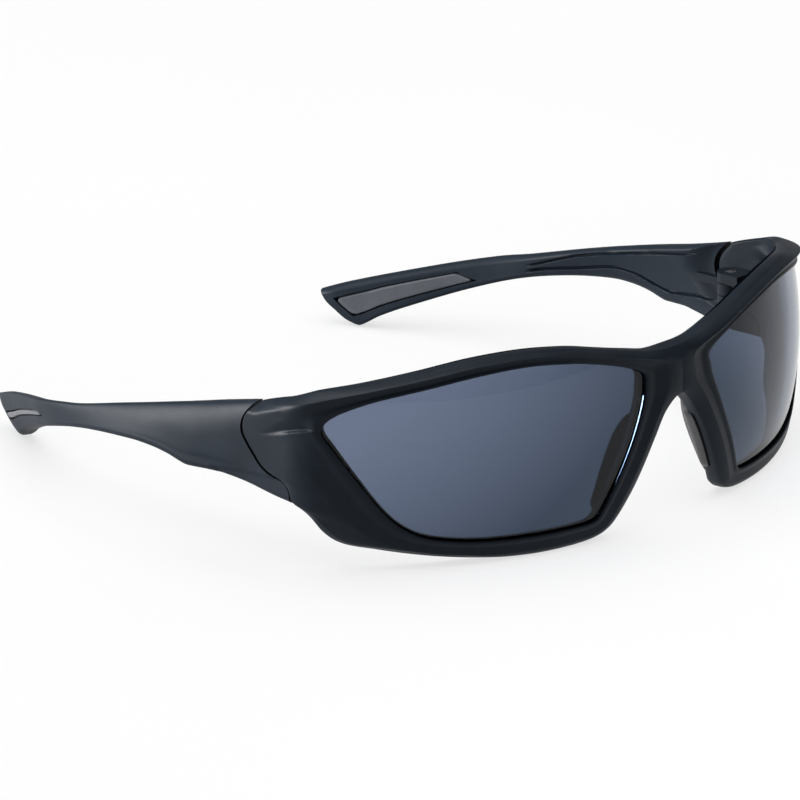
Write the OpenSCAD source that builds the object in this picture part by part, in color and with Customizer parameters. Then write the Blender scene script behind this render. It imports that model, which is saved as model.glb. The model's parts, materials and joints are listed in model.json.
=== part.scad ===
// Wrap-around safety glasses: front frame, two lenses, nose pads, hinges and temples.
// +X is the wearer's left, -Y is the way the wearer looks, +Z is up.
// The glasses rest on z = 0 with the temples open.

/* [Lenses] */
// Radius of the sphere that a lens front lies on
lens_r = 74.5; // [74:0.1:75]
// Thickness of a lens
lens_t = 2.2; // [1.8:0.1:2.2]
// Height of the lens sphere's centre above the resting plane
lens_z = 25; // [24:0.5:26]
// How far a lens reaches into the groove of the frame
lens_bite = 0.8; // [0.6:0.1:0.9]

/* [Front frame] */
// Half the width of the flat part of the front at the bridge
flat_w = 10; // [9.5:0.1:10.5]
// Length of lens curve round the face, from the bridge to the temple corner
curve_len = 74; // [73:0.5:75]
// Radius of the corner where the front turns back to the temple
corner_r = 12; // [11:0.5:13]
// Thickness behind the lens front at the brow and the bottom rim
rim_t = 3.7; // [3.6:0.1:4.2]
// Thickness of the side wall that carries the hinge
side_t = 3.2; // [3:0.1:3.2]
// Groove clearance round a lens
fit_gap = 0.1; // [0.05:0.01:0.15]

/* [Temples] */
// Gap between the frame's end and the temple when open
joint_gap = 0.45; // [0.3:0.05:0.5]
// Depth of the pockets that hold the grips
grip_depth = 1.0; // [0.8:0.1:1.2]
// How far a grip stands proud of its pocket
grip_proud = 0.2; // [0:0.05:0.3]

/* [Hinges] */
// Distance of a hinge axis from the middle of the glasses
hinge_x = 68.1; // [68:0.05:68.2]
// Distance of a hinge axis behind the front of the bridge
hinge_y = 46.5; // [46.3:0.1:46.6]
// Radius of the hinge barrels
barrel_r = 2.9; // [2.7:0.1:2.9]
// Diameter of the hinge screw's shank
screw_d = 1.4; // [1.2:0.1:1.6]

/* [Hidden] */

origin_y = 76.7;           // from the front of the bridge to the middle of the resting box
SEAM_TOP = 3;              // stations 0 to 3 of the rim meet the other half at the bridge
COLUMNS = 3;               // columns drawn for each station of the rim
turn = 90 - curve_len / lens_r * 180 / PI;     // angle turned by the temple corner
corner_end = flat_w + curve_len + corner_r * turn * PI / 180;
corner_c = [flat_w + (lens_r - corner_r) * sin(90 - turn),
            lens_r - (lens_r - corner_r) * cos(90 - turn)];

// ---- curves -------------------------------------------------------------------------
function smooth(t) = let(c = min(1, max(0, t))) c * c * (3 - 2 * c);

// point at t on the smooth curve through b and c, with a before and d after
function curve(a, b, c, d, t) =
    b + (c - a) * t / 2 + (2 * a - 5 * b + 4 * c - d) * t * t / 2
      + (3 * b - a - 3 * c + d) * t * t * t / 2;

// value at x of the smooth curve through a list of [x, value], x rising
function through(list, x, i = 0) =
    (i < len(list) - 2 && x > list[i + 1][0]) ? through(list, x, i + 1)
    : let(n = len(list) - 1, b = list[i], c = list[i + 1],
          a = i > 0 ? list[i - 1] : 2 * b - c,
          d = i + 2 <= n ? list[i + 2] : 2 * c - b,
          t = (x - b[0]) / (c[0] - b[0]),
          mb = (c[1] - a[1]) / (c[0] - a[0]) * (c[0] - b[0]),
          mc = (d[1] - b[1]) / (d[0] - b[0]) * (c[0] - b[0]))
      (2 * t * t * t - 3 * t * t + 1) * b[1] + (t * t * t - 2 * t * t + t) * mb
      + (3 * t * t - 2 * t * t * t) * c[1] + (t * t * t - t * t) * mc;

// ---- the wrap: s runs round the face from the middle, w stands out from the lens front ----
function wrap_angle(s) =
    s <= flat_w ? 0
    : s <= flat_w + curve_len ? (s - flat_w) / lens_r * 180 / PI
    : min(90, 90 - turn + (s - flat_w - curve_len) / corner_r * 180 / PI);

function wrap_plan(s) =
    let(a = wrap_angle(s))
    s <= flat_w ? [s, 0]
    : s <= flat_w + curve_len ? [flat_w + lens_r * sin(a), lens_r * (1 - cos(a))]
    : s <= corner_end ? corner_c + corner_r * [sin(a), -cos(a)]
    : [corner_c[0] + corner_r, corner_c[1] + s - corner_end];

function bulge(s, z) =
    (sqrt(lens_r * lens_r - (z - lens_z) * (z - lens_z)) - lens_r) * (1 - smooth((s - 80) / 12));

function wrap(s, z, w) =
    let(a = wrap_angle(s), p = wrap_plan(s) + (w + bulge(s, z)) * [sin(a), -cos(a)])
    [p[0], p[1] - origin_y, z];

side_start = corner_end - corner_c[1];         // s less y along the straight side wall

// ---- temple outlines: [distance behind the bridge, value] ----------------------------
TEMPLE_TOP = [[40, 36.8], [50, 33.95], [60, 31.5], [76, 27.85], [92, 24], [108, 19.9], [116, 18.2],
              [132, 14.1], [148, 9.5], [156, 6.6]];
TEMPLE_BOTTOM = [[40, 14], [46, 14.6], [54, 15.8], [62, 16.5], [68, 16.3], [70, 16.3], [75, 17.5],
                 [80, 18.1], [86, 18.1], [98, 16.7], [110, 14.3], [122, 10.5], [134, 5.7],
                 [140, 2.9], [144, 0.4], [156, -5]];
TEMPLE_X = [[40, 71.7], [52, 71.7], [60, 72.1], [68, 72.8], [76, 73], [84, 72.9], [92, 72.2],
            [100, 71.1], [108, 69.6], [116, 67.4], [124, 64], [132, 59.6], [140, 55.2],
            [148, 51], [156, 47.2]];
TEMPLE_THICK = [[40, 5.3], [58, 5.3], [72, 4.2], [90, 3.6], [110, 3.6], [126, 4], [156, 4.2]];
TEMPLE_TWIST = [[40, 0], [52, 0], [64, -1.4], [88, -1.6], [106, 0], [130, 2.4], [156, 2.6]];
// front end of the temple: [share of the height, distance behind the bridge]
JOINT_LINE = [[0, 40.3], [0.12, 40.7], [0.19, 42.6], [0.23, 46], [0.29, 48.4], [0.39, 50.3],
              [0.51, 52.2], [0.64, 53.6], [0.79, 53.6], [0.91, 52.3], [1, 50]];
// rear end of the temple, in the same way
TIP_LINE = [[0, 144.3], [0.25, 147.6], [0.5, 150.2], [0.75, 152.7], [1, 154.4]];

function temple_z(y, q) =
    through(TEMPLE_BOTTOM, y) + q * (through(TEMPLE_TOP, y) - through(TEMPLE_BOTTOM, y));

// point of the temple: v from front to rear, q from bottom to top, a in mm out from the middle
function temple(v, q, a) =
    let(front = through(JOINT_LINE, q),
        y = front + v * (through(TIP_LINE, q) - front),
        lean = atan(through(TEMPLE_X, y + 0.5) - through(TEMPLE_X, y - 0.5)),
        x = through(TEMPLE_X, y) + through(TEMPLE_TWIST, y) * (q - 0.5))
    [x + a * cos(lean), y - a * sin(lean) - origin_y, temple_z(y, q)];

// shares of the temple's height that stations 13 to 19 of the rim end at
JOINT_FIRST = 13;
JOINT_Q = [1, 0.88, 0.72, 0.52, 0.3, 0.19, 0.03];

function joint_point(q) = let(y = through(JOINT_LINE, q)) [y, temple_z(y, q)];

// point of the frame's rear end, square to the temple's end and just before it, as [s, z];
// near the top it stays level with the temple's upper edge.
function joint_end(q) =
    let(d = joint_point(q + 0.01) - joint_point(q - 0.01), top = smooth((q - 0.88) / 0.12),
        off = [-d[1] * (1 + 0.7 * top), d[0] * (1 - top)] / norm(d) * joint_gap,
        p = joint_point(q) + off)
    [p[0] + side_start, p[1]];

// ---- rim stations: lens opening [s, z], crest [s, z, w], outer edge [s, z], its w -------
RIM = [
    [[10.6, 29.2], [4.5, 30, 1.7], [0, 28.4], 1.2],
    [[10, 32], [4, 33, 1.8], [0, 32.5], 1.8],
    [[9.8, 34.2], [4, 35.4, 1.9], [0, 36], 1.8],
    [[10.9, 35.4], [5, 36.6, 2], [0, 38.1], 0],
    [[13.5, 36.6], [9, 37.9, 2], [6, 38.6], 0],
    [[17.5, 38], [15, 39.5, 2], [12, 40], 0],
    [[22.5, 39.4], [21, 41.2, 2], [20, 41.8], 0],
    [[29, 40.7], [29, 42.8, 2], [28, 43.4], 0],
    [[39, 41.6], [39, 43.7, 2], [39, 44.3], 0],
    [[50, 40.9], [50.5, 43.2, 2], [51, 43.8], 0],
    [[61, 39.1], [62, 41.4, 2], [63, 42], 0],
    [[71, 37.1], [73, 39.4, 2], [75, 40], 0],
    [[77.5, 35], [82, 37.4, 1.8], [86, 38.1], 0],
    [[81, 33.2], [92, 34.4, 0.6], joint_end(JOINT_Q[0]), 0],
    [[82.6, 31.2], [90, 31, 0.4], joint_end(JOINT_Q[1]), 0],
    [[82.2, 29.4], [88.4, 28.4, 0.4], joint_end(JOINT_Q[2]), 0],
    [[80.4, 27], [86.6, 25, 0.6], joint_end(JOINT_Q[3]), 0],
    [[78, 23.6], [84.6, 21.4, 0.9], joint_end(JOINT_Q[4]), 0],
    [[75, 19.4], [82, 17.2, 1.1], joint_end(JOINT_Q[5]), 0],
    [[72, 15.2], [79, 13.2, 1.2], joint_end(JOINT_Q[6]), 0],
    [[69, 11.6], [75.6, 9.6, 1.2], [86.6, 11.8], 0],
    [[66, 9.1], [71.2, 6.6, 1.1], [81, 6.1], 0.2],
    [[62, 7.1], [65.5, 4.6, 1], [72, 4.1], 0.3],
    [[56, 5.8], [57.5, 3, 1], [60, 2], 0.3],
    [[48, 5], [48.5, 2, 1], [49.5, 0.8], 0.3],
    [[38, 4.7], [38, 1.6, 1], [38, 0.1], 0.3],
    [[29, 4.7], [28.5, 1.7, 1], [28, 0.2], 0.3],
    [[24, 4.9], [22.5, 2.2, 1], [21.5, 0.8], 0.3],
    [[21.9, 5.7], [19.5, 3.6, 1], [18, 2.2], 0.3],
    [[20.8, 7.4], [17.6, 6.4, 1.1], [15.8, 4.6], 0.3],
    [[18.6, 11.6], [15.2, 10.8, 1.2], [12.6, 9.8], 0.3],
    [[16.2, 16.4], [12.6, 15.8, 1.3], [9.6, 15.4], 0.3],
    [[14, 21], [10.2, 20.4, 1.4], [7, 20.2], 0.3],
    [[12, 25.6], [7.6, 25.2, 1.5], [3.6, 25.4], 0.3]];
N_RIM = len(RIM);

// value of one entry of the stations at column c, smooth between stations
function rim_value(c, k) =
    let(i = floor(c / COLUMNS), t = c / COLUMNS - i, n = N_RIM,
        b = RIM[i % n][k], d = RIM[(i + 1) % n][k],
        in_seam = i % n < SEAM_TOP,
        a = k == 2 && in_seam ? b : k == 2 && i % n == SEAM_TOP ? [-d[0], d[1]] : RIM[(i + n - 1) % n][k],
        e = k == 2 && in_seam ? d : k == 2 && (i + 1) % n == 0 ? [-b[0], b[1]] : RIM[(i + 2) % n][k])
    curve(a, b, d, e, t);

// outer edge at column c: along the joint it follows the temple's end
function outer_edge(c) =
    let(j = c / COLUMNS - JOINT_FIRST, last = len(JOINT_Q) - 1, i = min(floor(j), last - 1))
    j < 0 || j > last ? rim_value(c, 2)
    : joint_end(JOINT_Q[i] + (j - i) * (JOINT_Q[i + 1] - JOINT_Q[i]));

N_COL = N_RIM * COLUMNS;
function opening(c) = rim_value((c + N_COL) % N_COL, 0);

// unit vector in [s, z] that points out of the opening at column c
function outward(c) =
    let(d = opening(c + 1) - opening(c - 1))
    [-d[1], d[0]] / norm(d);

function seam(c) = c <= SEAM_TOP * COLUMNS;
function depth(s) = -rim_t + (rim_t - side_t) * smooth((s - 56) / 28);

// section of the rim at column c, from the lip round the outside to the lens groove
function rim_section(c) =
    let(o = opening(c), k = rim_value(c, 1), q = outer_edge(c), kk = [k[0], k[1]],
        n = outward(c), w_edge = rim_value(c, 3),
        in = seam(c) ? [0, 0] : (o - q) / norm(o - q) * 0.8,
        lip = 0.9, back_o = depth(o[0]), back_q = depth(q[0]), mid = (kk + q) / 2, near = (kk + mid) / 2,
        groove = o + n * (lens_bite + fit_gap))
    [[o, lip - 0.2], [o + (kk - o) * 0.2, lip], [o + (kk - o) * 0.42, lip - 0.2], [kk, k[2]],
     [mid, (k[2] + w_edge) / 2 + 0.2], [q + in * 0.3, w_edge], [q, w_edge - 0.8], [q, back_q + 0.8],
     [q + in, back_q], [mid, depth(mid[0])], [near, depth(near[0])], [kk, depth(k[0])],
     [o + n * 0.3, back_o], [o, back_o + 0.3],
     [o, -lens_t - fit_gap], [groove, -lens_t - fit_gap], [groove, fit_gap], [o, fit_gap]];

N_SEC = 18;
SEAM_FROM = 5;             // section points 5 to 8 lie on the outer edge
SEAM_TO = 8;

module rim_solid() {
    half = [for (c = [0 : N_COL - 1]) for (p = rim_section(c)) wrap(p[0][0], p[0][1], p[1])];
    points = concat(half, [for (p = half) [-p[0], p[1], p[2]]]);
    // the mirrored half shares the points of the seam
    function at(side, c, k) =
        let(cc = c % N_COL, kk = k % N_SEC,
            shared = side == 1 && seam(cc) && kk >= SEAM_FROM && kk <= SEAM_TO)
        (shared ? 0 : side) * len(half) + cc * N_SEC + kk;
    faces = [for (side = [0, 1]) for (c = [0 : N_COL - 1]) for (k = [0 : N_SEC - 1])
        if (!(c < SEAM_TOP * COLUMNS && k >= SEAM_FROM && k < SEAM_TO))
            for (f = side == 0
                 ? [[at(0, c, k), at(0, c + 1, k), at(0, c + 1, k + 1)],
                    [at(0, c, k), at(0, c + 1, k + 1), at(0, c, k + 1)]]
                 : [[at(1, c, k), at(1, c + 1, k + 1), at(1, c + 1, k)],
                    [at(1, c, k), at(1, c, k + 1), at(1, c + 1, k + 1)]]) f];
    polyhedron(points, faces);
}

// ---- lens ---------------------------------------------------------------------------
LENS_MIDDLE = [46, 23];
LENS_RINGS = [0.25, 0.5, 0.75, 1];

module lens_solid() {
    n_ring = len(LENS_RINGS);
    layer = 1 + n_ring * N_COL;
    function lens_layer(w) = concat([wrap(LENS_MIDDLE[0], LENS_MIDDLE[1], w)],
        [for (r = LENS_RINGS) for (c = [0 : N_COL - 1])
            let(edge = opening(c) + outward(c) * lens_bite, p = LENS_MIDDLE + (edge - LENS_MIDDLE) * r)
            wrap(p[0], p[1], w)]);
    function at(side, r, c) = side * layer + 1 + r * N_COL + c % N_COL;
    function turned(side, f) = side == 0 ? f : [f[2], f[1], f[0]];
    faces = concat(
        [for (side = [0, 1]) for (c = [0 : N_COL - 1])
            turned(side, [side * layer, at(side, 0, c + 1), at(side, 0, c)])],
        [for (side = [0, 1]) for (r = [0 : n_ring - 2]) for (c = [0 : N_COL - 1])
            for (f = [[at(side, r, c), at(side, r, c + 1), at(side, r + 1, c + 1)],
                      [at(side, r, c), at(side, r + 1, c + 1), at(side, r + 1, c)]])
                turned(side, f)],
        [for (c = [0 : N_COL - 1])
            for (f = [[at(0, n_ring - 1, c), at(0, n_ring - 1, c + 1), at(1, n_ring - 1, c + 1)],
                      [at(0, n_ring - 1, c), at(1, n_ring - 1, c + 1), at(1, n_ring - 1, c)]]) f]);
    polyhedron(concat(lens_layer(0), lens_layer(-lens_t)), faces);
}

// ---- solid skinned over a list of closed sections that have the same number of points ----
// With fold set, points whose places add up to fold face each other across the section, and
// the ends are closed by strips between them, for ends that aren't flat.
module skin(sections, fold = -1) {
    n = len(sections[0]);
    last = len(sections) - 1;
    function at(j, k) = j * n + (k + n) % n;
    strips = fold < 0 ? [] : [for (k = [(fold + 1 - n) / 2 : (fold - 3) / 2])
        for (f = [[k, k + 1, fold - k - 1], [k, fold - k - 1, fold - k]]) f];
    faces = concat(
        fold < 0 ? [[for (k = [0 : n - 1]) k]] : [for (f = strips) [for (k = f) at(0, k)]],
        [for (j = [0 : last - 1]) for (k = [0 : n - 1])
            for (f = [[at(j, k), at(j + 1, k), at(j + 1, k + 1)],
                      [at(j, k), at(j + 1, k + 1), at(j, k + 1)]]) f],
        fold < 0 ? [[for (k = [n - 1 : -1 : 0]) at(last, k)]]
                 : [for (f = strips) [for (k = [2 : -1 : 0]) at(last, f[k])]]);
    polyhedron([for (s = sections) for (p = s) p], faces);
}

// ---- nose pad: [height, nose edge of the rim, reach behind the rim] -----------------------
PAD = [[5.6, 15.8, 1.4], [7, 14.9, 3], [10, 13, 3.9], [14, 10.7, 4.7], [18, 8.7, 4.9],
       [21, 7.5, 4.6], [24, 6.5, 3.4], [25.6, 6, 1.8]];
PAD_THICK = 2.2;
PAD_GAP = 0.08;            // between the rim's back and the pad
PAD_LEAN = 0.5;            // the pad widens towards the face by this share of its reach

// the place behind the rim that a pad stands on, at x and height z
function pad_seat(x, z) =
    let(r = lens_r - rim_t + bulge(0, z), a = asin(max(0, x - flat_w) / r))
    lens_r - r * cos(a) + PAD_GAP - origin_y;

module nose_pad_solid() {
    skin([for (p = PAD)
        let(z = p[0], x = p[1], reach = p[2], y0 = pad_seat(x, z), y1 = pad_seat(x + PAD_THICK, z),
            t = PAD_THICK, lean = PAD_LEAN * reach)
        [[x, y0, z], [x + 0.1 * lean, y0 + 0.3 * reach, z], [x + 0.5 * lean, y0 + 0.7 * reach, z],
         [x + lean, y0 + reach - 0.5, z], [x + lean + 0.4 * t, y0 + reach, z],
         [x + lean + t, y0 + reach - 0.6, z], [x + 0.6 * lean + t, y0 + 0.6 * reach, z],
         [x + 0.2 * lean + t, max(y1, y0 + 0.25 * reach), z], [x + t, y1, z]]]);
}

// ---- temple -------------------------------------------------------------------------
TEMPLE_FROM = 47;          // mean distance of the temple's front end behind the bridge
TEMPLE_RUN = 103;          // mean length of the temple along y
TIP_ROUND = 0.97;          // the temple thins towards its rear end from here
CORNER = 1.1;              // rounding of the temple's long edges
OUTER_GRIP = [0.4, 0.6];   // share of the height from the grip's lower to its upper edge
INNER_GRIP = [0.26, 0.78];
OUTER_GRIP_FROM = 0.725;   // where the grips start and end along the temple
OUTER_GRIP_TO = 0.975;
INNER_GRIP_FROM = 0.72;
INNER_GRIP_TO = 0.98;
WALL = 0.002;              // run of a pocket's end wall along the temple
RIM_SHARE = 0.02;          // rise of a pocket's side wall as a share of the height

// mean distance behind the bridge at v
function behind(v) = TEMPLE_FROM + v * TEMPLE_RUN;

// half the thickness of the temple at v, rounded off at the rear end
function half_thick(v) =
    let(t = (v - TIP_ROUND) / (1 - TIP_ROUND))
    through(TEMPLE_THICK, behind(v)) / 2 * (t < 0 ? 1 : sqrt(1 - 0.6 * t * t));

function pocket(v, from, to) = (v > from + WALL / 2 && v < to - WALL / 2) ? grip_depth : 0;

// rounding of the long edges as a share of the height
function corner_share(v) = CORNER / (v < FRONT_END ? HINGE_HEIGHT : temple_height(v));

// upper edge of the inner pocket as a share of the height
function inner_top(v) = min(INNER_GRIP[1], 1 - corner_share(v) - 4.5 * RIM_SHARE);

// hinge heights: the lower barrel, the temple's barrel and the upper barrel
LOWER_BARREL = [21.7, 23.7];
MIDDLE_BARREL = [23.9, 26.5];
UPPER_BARREL = [26.7, 28.9];
LEAF_RANGE = [24.3, 26.1]; // heights of the leaf that runs back into the temple
LEAF_X = 69.1;
LEAF_T = 1.6;
LEAF_GAP = 0.06;
LEAF_ROOM = 0.12;          // above and below the leaf
LEAF_END = 0.07;           // the leaf ends at this share of the temple's length
HINGE_HEIGHT = 19;         // height of the temple near the hinge
FRONT_END = 0.2;           // the levels are laid out for the hinge slot before this share

// share of the height at which the temple is z high at v, by repeated correction from q
function share(v, z, q = 0.7, n = 5) =
    let(front = through(JOINT_LINE, q), y = front + v * (through(TIP_LINE, q) - front),
        low = through(TEMPLE_BOTTOM, y))
    n == 0 ? q : share(v, z, (z - low) / (through(TEMPLE_TOP, y) - low), n - 1);

function temple_height(v) = through(TEMPLE_TOP, behind(v)) - through(TEMPLE_BOTTOM, behind(v));

// shares of the height between the bottom rounding and the inner pocket
STEPS = [0.3, 0.5, 0.65, 0.83];

// The levels of a section run from the bottom to the top rounding, each with the outer and
// the inner face. Both lists have 20 levels, so that they can be skinned together.
function hinge_levels(v, h, r, e) =
    let(slot = v < LEAF_END + WALL / 2 ? h - LEAF_T - 2 * LEAF_GAP : h,
        s0 = share(v, LEAF_RANGE[0] - LEAF_ROOM), s1 = share(v, LEAF_RANGE[1] + LEAF_ROOM))
    concat([for (k = [0 : 6]) [r + (s0 - e - r) * k / 7, h, h]],
        [[s0 - e, h, h], [s0, h, slot], [s1, h, slot], [s1 + e, h, h]],
        [for (k = [1 : 9]) [s1 + e + (1 - r - s1 - e) * k / 9, h, h]]);

function grip_levels(v, h, r, e) =
    let(o = OUTER_GRIP, i = INNER_GRIP[0], top = inner_top(v),
        outer = h - pocket(v, OUTER_GRIP_FROM, OUTER_GRIP_TO),
        inner = h - pocket(v, INNER_GRIP_FROM, INNER_GRIP_TO))
    concat([[r, h, h]], [for (t = STEPS) [r + t * (i - r), h, h]],
        [[i, h, h], [i + e, h, inner], [o[0], h, inner], [o[0] + e, outer, inner],
         [o[1] - e, outer, inner], [o[1], h, inner], [top - e, h, inner], [top, h, h]],
        [for (k = [1 : 7]) [top + (1 - r - top) * k / 7, h, h]]);

function temple_section(v) =
    let(h = half_thick(v), edge = min(CORNER, 0.5 * h), r = corner_share(v),
        levels = v < FRONT_END ? hinge_levels(v, h, r, RIM_SHARE) : grip_levels(v, h, r, RIM_SHARE),
        n = len(levels) - 1)
    [for (p = concat([for (l = levels) [l[1], l[0]]],
            [[h - 0.3 * edge, 1 - 0.3 * r], [h - edge, 1], [edge - h, 1], [0.3 * edge - h, 1 - 0.3 * r]],
            [for (k = [n : -1 : 0]) [-levels[k][2], levels[k][0]]],
            [[0.3 * edge - h, 0.3 * r], [edge - h, 0], [h - edge, 0], [h - 0.3 * edge, 0.3 * r]]))
        temple(v, p[1], p[0])];

TEMPLE_STATIONS = concat(
    [0, 0.02, 0.045, LEAF_END, LEAF_END + WALL, 0.1], [for (i = [4 : 17]) i / 25],
    [INNER_GRIP_FROM, INNER_GRIP_FROM + WALL, OUTER_GRIP_FROM, OUTER_GRIP_FROM + WALL,
     0.76, 0.8, 0.84, 0.87, 0.9, 0.93, 0.955, OUTER_GRIP_TO - WALL, OUTER_GRIP_TO,
     INNER_GRIP_TO - WALL, INNER_GRIP_TO, 0.992, 1]);

TEMPLE_FOLD = 43;          // outer points 0 to 19 face inner points 43 to 24

module temple_solid() {
    skin([for (v = TEMPLE_STATIONS) temple_section(v)], TEMPLE_FOLD);
}

// grip between v and q limits on the outer (side 1) or inner (side -1) face of the temple
module grip_solid(side, from, to, band) {
    gap_v = 0.0015;
    gap_q = 0.04;
    stations = 9;
    skin([for (j = [0 : stations])
        let(v = from + WALL + gap_v + (to - from - 2 * WALL - 2 * gap_v) * j / stations,
            low = half_thick(v) - grip_depth + 0.12,
            top = half_thick(v) + (j == 0 || j == stations ? 0 : grip_proud),
            q0 = band[0] + gap_q, q1 = (side < 0 ? inner_top(v) : band[1]) - gap_q,
            section = [[low, q0], [top - 0.15, q0], [top, q0 + 0.03], [top, (q0 + q1) / 2],
                       [top, q1 - 0.03], [top - 0.15, q1], [low, q1]])
        [for (k = [0 : 6]) let(p = section[side > 0 ? k : 6 - k]) temple(v, p[1], side * p[0])]]);
}

// ---- hinge --------------------------------------------------------------------------
BORE_GAP = 0.04;           // running clearance of the screw, on the radius
BLOCK_FRONT = 42;          // front of the hinge block behind the bridge
HEAD_D = 2.4;
HEAD_H = 0.9;

module at_hinge(z) {
    translate([hinge_x, hinge_y - origin_y, z]) children();
}

module barrel(range, bore) {
    difference() {
        at_hinge(range[0]) cylinder(h = range[1] - range[0], r = barrel_r, $fn = 64);
        at_hinge(range[0] - 1) cylinder(h = range[1] - range[0] + 2, d = bore, $fn = 48);
    }
}

module front_leaf_solid() {
    wall_x = corner_c[0] + corner_r - side_t - 2 * LEAF_GAP;
    low = hinge_x - barrel_r;
    bore = screw_d + 2 * BORE_GAP;
    difference() {
        union() {
            for (range = [LOWER_BARREL, UPPER_BARREL]) {
                at_hinge(range[0]) cylinder(h = range[1] - range[0], r = barrel_r, $fn = 64);
                translate([low, BLOCK_FRONT - origin_y, range[0]])
                    cube([wall_x - low, hinge_y - BLOCK_FRONT, range[1] - range[0]]);
            }
            translate([low, BLOCK_FRONT - origin_y, LOWER_BARREL[0]])
                cube([wall_x - low, hinge_y - barrel_r - 0.3 - BLOCK_FRONT,
                      UPPER_BARREL[1] - LOWER_BARREL[0]]);
        }
        at_hinge(LOWER_BARREL[0] - 1) cylinder(h = 20, d = bore, $fn = 48);
        at_hinge(UPPER_BARREL[1] - HEAD_H) cylinder(h = 5, d = HEAD_D + 2 * LEAF_GAP, $fn = 48);
    }
}

module temple_leaf_solid() {
    height = MIDDLE_BARREL[1] - MIDDLE_BARREL[0];
    rear = temple(LEAF_END, 0.5, 0)[1] - 1.2;
    difference() {
        union() {
            at_hinge(MIDDLE_BARREL[0]) cylinder(h = height, r = barrel_r, $fn = 64);
            translate([LEAF_X, hinge_y - origin_y, LEAF_RANGE[0]])
                cube([LEAF_T, rear - hinge_y + origin_y, LEAF_RANGE[1] - LEAF_RANGE[0]]);
        }
        at_hinge(MIDDLE_BARREL[0] - 1) cylinder(h = height + 2, d = screw_d + 2 * BORE_GAP, $fn = 48);
    }
}

module screw_solid() {
    at_hinge(LOWER_BARREL[0]) cylinder(h = UPPER_BARREL[1] - LOWER_BARREL[0] - 0.1, d = screw_d, $fn = 48);
    difference() {
        at_hinge(UPPER_BARREL[1] - HEAD_H + 0.05) cylinder(h = HEAD_H - 0.15, d = HEAD_D, $fn = 48);
        at_hinge(UPPER_BARREL[1] - 0.45)
            translate([-2, -0.2, 0]) cube([4, 0.4, 2]);
    }
}

// ---- the pieces ------------------------------------------------------------------------
// side 1 is the wearer's left, side -1 the wearer's right
module on_side(side) {
    if (side > 0) children();
    else mirror([1, 0, 0]) children();
}

module front_frame() { color("#23282e") rim_solid(); }
module lens(side) { color([0.3, 0.34, 0.4, 0.6]) on_side(side) lens_solid(); }
module nose_pad(side) { color("#4a4b50") on_side(side) nose_pad_solid(); }
module front_hinge_leaf(side) { color("#2c3036") on_side(side) front_leaf_solid(); }
module temple_hinge_leaf(side) { color("#2c3036") on_side(side) temple_leaf_solid(); }
module hinge_screw(side) { color("silver") on_side(side) screw_solid(); }
module temple_arm(side) { color("#2b3138") on_side(side) temple_solid(); }
module inner_grip(side) {
    color("#60646c") on_side(side) grip_solid(-1, INNER_GRIP_FROM, INNER_GRIP_TO, INNER_GRIP);
}
module outer_grip(side) {
    color("#8a8e96") on_side(side) grip_solid(1, OUTER_GRIP_FROM, OUTER_GRIP_TO, OUTER_GRIP);
}

front_frame();
lens(-1);  // right_lens
lens(1);  // left_lens
nose_pad(-1);  // right_nose_pad
nose_pad(1);  // left_nose_pad
front_hinge_leaf(-1);  // right_front_hinge_leaf
front_hinge_leaf(1);  // left_front_hinge_leaf
temple_hinge_leaf(-1);  // right_temple_hinge_leaf
temple_hinge_leaf(1);  // left_temple_hinge_leaf
hinge_screw(-1);  // right_hinge_screw
hinge_screw(1);  // left_hinge_screw
temple_arm(-1);  // right_temple
temple_arm(1);  // left_temple
inner_grip(-1);  // right_inner_grip
inner_grip(1);  // left_inner_grip
outer_grip(-1);  // right_outer_grip
outer_grip(1);  // left_outer_grip
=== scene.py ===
import json
import math

import bmesh
import bpy
import numpy as np
from mathutils import Matrix, Vector

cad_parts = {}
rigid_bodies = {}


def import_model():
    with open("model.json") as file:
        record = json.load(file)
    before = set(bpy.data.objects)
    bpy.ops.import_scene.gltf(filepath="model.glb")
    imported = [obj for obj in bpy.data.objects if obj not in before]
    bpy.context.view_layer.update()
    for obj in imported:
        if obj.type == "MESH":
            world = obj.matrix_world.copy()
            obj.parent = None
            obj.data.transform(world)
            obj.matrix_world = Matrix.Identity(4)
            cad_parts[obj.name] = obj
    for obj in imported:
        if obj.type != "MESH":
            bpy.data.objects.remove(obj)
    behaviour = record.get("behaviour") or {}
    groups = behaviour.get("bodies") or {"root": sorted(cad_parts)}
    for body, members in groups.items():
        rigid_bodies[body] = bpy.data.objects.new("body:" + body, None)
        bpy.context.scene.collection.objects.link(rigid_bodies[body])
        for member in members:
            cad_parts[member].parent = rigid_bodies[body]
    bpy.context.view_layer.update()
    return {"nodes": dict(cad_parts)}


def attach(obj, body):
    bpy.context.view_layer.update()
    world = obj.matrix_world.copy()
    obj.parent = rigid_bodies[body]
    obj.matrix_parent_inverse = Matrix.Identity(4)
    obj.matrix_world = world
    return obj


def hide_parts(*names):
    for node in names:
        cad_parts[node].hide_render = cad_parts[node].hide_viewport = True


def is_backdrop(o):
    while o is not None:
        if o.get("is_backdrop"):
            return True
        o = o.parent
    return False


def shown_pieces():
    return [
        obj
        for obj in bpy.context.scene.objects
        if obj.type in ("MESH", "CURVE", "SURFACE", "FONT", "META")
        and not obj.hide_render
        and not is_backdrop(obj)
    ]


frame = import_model()

MM = 0.001
SIDES = {"right": -1, "left": 1}      # the wearer's right is -X

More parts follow.
